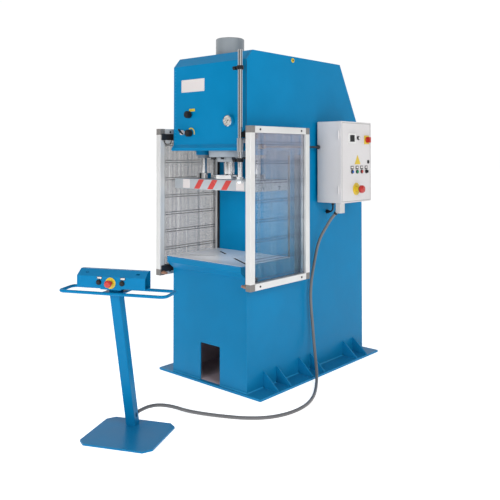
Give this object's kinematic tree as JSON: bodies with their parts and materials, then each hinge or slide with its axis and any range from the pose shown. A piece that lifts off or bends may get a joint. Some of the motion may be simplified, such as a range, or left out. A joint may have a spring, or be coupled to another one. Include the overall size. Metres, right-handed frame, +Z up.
{
  "type": "hydraulic press",
  "caption": "Upright C-frame hydraulic press with guided platen, slotted table, hinged clear side guards, side control cabinet and a separate two-hand control stand on a flexible conduit.",
  "frame": {"origin": "centre of the underside of the press base plate, on the floor", "axes": "+X to the right seen from the front, +Y to the back, +Z up"},
  "size_m": [1.2724, 2.6217, 2.43],
  "materials": {
    "press_blue": "satin enamel",
    "ground_steel": "surface ground",
    "grey_paint": "satin enamel",
    "black_steel": "blackened",
    "chrome_bar": "hard chrome, polished",
    "chrome_trim": "polished",
    "turned_steel": "turned",
    "black_plastic": "matt",
    "black_paint": "satin",
    "white_aluminium": "anodised, natural",
    "grey_plastic": "fine texture",
    "clear_sheet": "clear ribbed",
    "bronze": "machined",
    "cabinet_grey": "fine powder coat",
    "green_plastic": "gloss",
    "red_plastic": "gloss",
    "gear_plastic": "matt",
    "grey_conduit": "satin, corrugated",
    "motor_paint": "painted casting"
  },
  "bodies": {
    "frame": {"base_plate": "press_blue", "left_side_plate": "press_blue", "right_side_plate": "press_blue", "front_panel": "press_blue", "throat_back_plate": "press_blue", "head_bottom_plate": "press_blue", "head_cover": "press_blue", "rear_cover": "press_blue", "table_plate": "ground_steel", "table_plug": "ground_steel", "cylinder_barrel": "grey_paint", "cylinder_flange": "grey_paint", "flange_bolts": "black_steel", "guide_bushes": "grey_paint", "trip_rod_guide": "turned_steel", "limit_switch": "black_plastic", "gauge_case": "chrome_trim", "hinge_strips": "black_paint", "guard_stops": "black_paint", "lever_bracket": "bronze", "cabinet_box": "cabinet_grey", "cable_outlet": "cabinet_grey", "control_gear": "gear_plastic", "conduit": "grey_conduit", "control_stand": "press_blue", "hand_rail": "press_blue", "console_box": "press_blue", "oil_tank": "grey_paint", "motor_pump_unit": "motor_paint", "valve_block": "turned_steel", "oil_pipes": "turned_steel"},
    "press_ram": {"platen": "grey_paint", "ram": "chrome_bar", "guide_columns": "chrome_bar", "trip_rod_bracket": "grey_paint", "trip_rod": "chrome_bar", "stop_collars": "black_plastic"},
    "left_guard": {"left_guard_frame": "white_aluminium", "left_guard_corners": "grey_plastic", "left_guard_panel": "clear_sheet"},
    "right_guard": {"right_guard_frame": "white_aluminium", "right_guard_corners": "grey_plastic", "right_guard_panel": "clear_sheet"},
    "lever": {"hand_lever": "black_paint"},
    "door": {"cabinet_door": "cabinet_grey", "door_fittings": "black_plastic"},
    "main_switch_handle": {"main_switch": "red_plastic"},
    "selector": {"selector_switch": "black_plastic"},
    "lock": {"door_lock": "black_plastic"},
    "green_push": {"green_button": "green_plastic"},
    "red_push": {"red_button": "red_plastic"},
    "door_stop": {"door_stop_button": "red_plastic"},
    "needle": {"gauge_needle": "black_plastic"},
    "pressure_valve_knob": {"pressure_knob": "black_plastic"},
    "flow_valve_knob": {"flow_knob": "black_plastic"},
    "console_stop": {"console_stop_button": "red_plastic"},
    "console_push_left": {"left_console_button": "black_plastic"},
    "console_push_right": {"right_console_button": "black_plastic"},
    "palm_left": {"left_palm_button": "black_plastic"},
    "palm_right": {"right_palm_button": "black_plastic"}
  },
  "joints": [
    {"name": "platen_slide", "type": "slide", "parent": "frame", "child": "press_ram", "axis": [0, 0, -1], "range_m": [0, 0.4]},
    {"name": "left_guard_hinge", "type": "hinge", "parent": "frame", "child": "left_guard", "pos_m": [-0.415, -0.142, 1.2], "axis": [0, 0, -1], "range_deg": [0, 90]},
    {"name": "right_guard_hinge", "type": "hinge", "parent": "frame", "child": "right_guard", "pos_m": [0.415, -0.142, 1.2], "axis": [0, 0, 1], "range_deg": [0, 90]},
    {"name": "lever_pivot", "type": "hinge", "parent": "frame", "child": "lever", "pos_m": [0.3875, -0.569, 1.648], "axis": [1, 0, 0], "range_deg": [-5, 15], "stiffness_Nm_per_rad": 40, "springref_deg": 3.15},
    {"name": "door_hinge", "type": "hinge", "parent": "frame", "child": "door", "pos_m": [0.576, 0.049, 1.537], "axis": [0, 0, -1], "range_deg": [0, 90]},
    {"name": "main_switch_turn", "type": "hinge", "parent": "door", "child": "main_switch_handle", "pos_m": [0.605, 0.4, 1.705], "axis": [1, 0, 0], "range_deg": [0, 90]},
    {"name": "selector_turn", "type": "hinge", "parent": "door", "child": "selector", "pos_m": [0.6, 0.393, 1.465], "axis": [1, 0, 0], "range_deg": [0, 90]},
    {"name": "lock_turn", "type": "hinge", "parent": "door", "child": "lock", "pos_m": [0.59, 0.422, 1.537], "axis": [1, 0, 0], "range_deg": [0, 90]},
    {"name": "green_press", "type": "slide", "parent": "door", "child": "green_push", "axis": [-1, 0, 0], "range_m": [0, 0.004], "stiffness_N_per_m": 500},
    {"name": "red_press", "type": "slide", "parent": "door", "child": "red_push", "axis": [-1, 0, 0], "range_m": [0, 0.004], "stiffness_N_per_m": 500},
    {"name": "door_stop_press", "type": "slide", "parent": "door", "child": "door_stop", "axis": [-1, 0, 0], "range_m": [0, 0.006]},
    {"name": "needle_turn", "type": "hinge", "parent": "frame", "child": "needle", "pos_m": [0.211, -0.738, 1.822], "axis": [0, 1, 0], "range_deg": [0, 270], "stiffness_Nm_per_rad": 0.002},
    {"name": "pressure_knob_turn", "type": "hinge", "parent": "frame", "child": "pressure_valve_knob", "pos_m": [-0.186, -0.72, 1.879], "axis": [0, 1, 0], "continuous": true},
    {"name": "flow_knob_turn", "type": "hinge", "parent": "frame", "child": "flow_valve_knob", "pos_m": [-0.178, -0.72, 1.746], "axis": [0, 1, 0], "continuous": true},
    {"name": "console_stop_press", "type": "slide", "parent": "frame", "child": "console_stop", "axis": [-0.4285, 0.9036, 0], "range_m": [0, 0.006]},
    {"name": "console_left_press", "type": "slide", "parent": "frame", "child": "console_push_left", "axis": [-0.4285, 0.9036, 0], "range_m": [0, 0.004], "stiffness_N_per_m": 500},
    {"name": "console_right_press", "type": "slide", "parent": "frame", "child": "console_push_right", "axis": [-0.4285, 0.9036, 0], "range_m": [0, 0.004], "stiffness_N_per_m": 500},
    {"name": "palm_left_press", "type": "slide", "parent": "frame", "child": "palm_left", "axis": [0.9036, 0.4285, 0], "range_m": [0, 0.005], "stiffness_N_per_m": 600},
    {"name": "palm_right_press", "type": "slide", "parent": "frame", "child": "palm_right", "axis": [-0.9036, -0.4285, 0], "range_m": [0, 0.005], "stiffness_N_per_m": 600}
  ]
}
